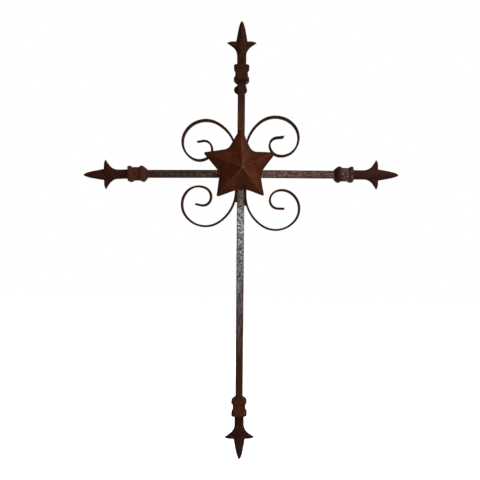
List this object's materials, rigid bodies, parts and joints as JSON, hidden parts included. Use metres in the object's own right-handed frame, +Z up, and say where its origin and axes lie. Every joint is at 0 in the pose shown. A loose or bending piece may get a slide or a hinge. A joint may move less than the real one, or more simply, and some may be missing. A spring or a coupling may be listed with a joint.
{
  "type": "wrought iron wall cross",
  "caption": "Tall wall cross of square iron bar with cast spear ends, flat-bar scrolls in its corners, a pressed star over the crossing and a small ring behind to hang it.",
  "frame": {"origin": "on the wall plane, at the flat back of the hanging ring, in the middle of the band above the ring's hole, where the nail bears", "axes": "+Z up along the upright to the top spear, +X to the viewer's right along the crossbar, +Y back into the wall, so the front faces -Y"},
  "size_m": [0.5477, 0.0418, 0.762],
  "materials": {
    "worn_bar": "wrought bar, brown with rust and worn to grey on its lower front",
    "rusted_strip": "flat bar with an even dark brown rust, rubbed lighter along its edges",
    "dark_casting": "sand-cast iron, dark rusty brown, lighter on its ridges",
    "rusted_sheet": "pressed sheet, orange-brown rust with paler rubbed ridges"
  },
  "bodies": {
    "root": {"upright": "worn_bar", "left_arm": "worn_bar", "right_arm": "worn_bar", "top_finial": "dark_casting", "bottom_finial": "dark_casting", "left_finial": "dark_casting", "right_finial": "dark_casting", "top_left_scroll": "rusted_strip", "top_right_scroll": "rusted_strip", "bottom_left_scroll": "rusted_strip", "bottom_right_scroll": "rusted_strip", "star": "rusted_sheet", "hanging_ring": "dark_casting"}
  },
  "joints": []
}
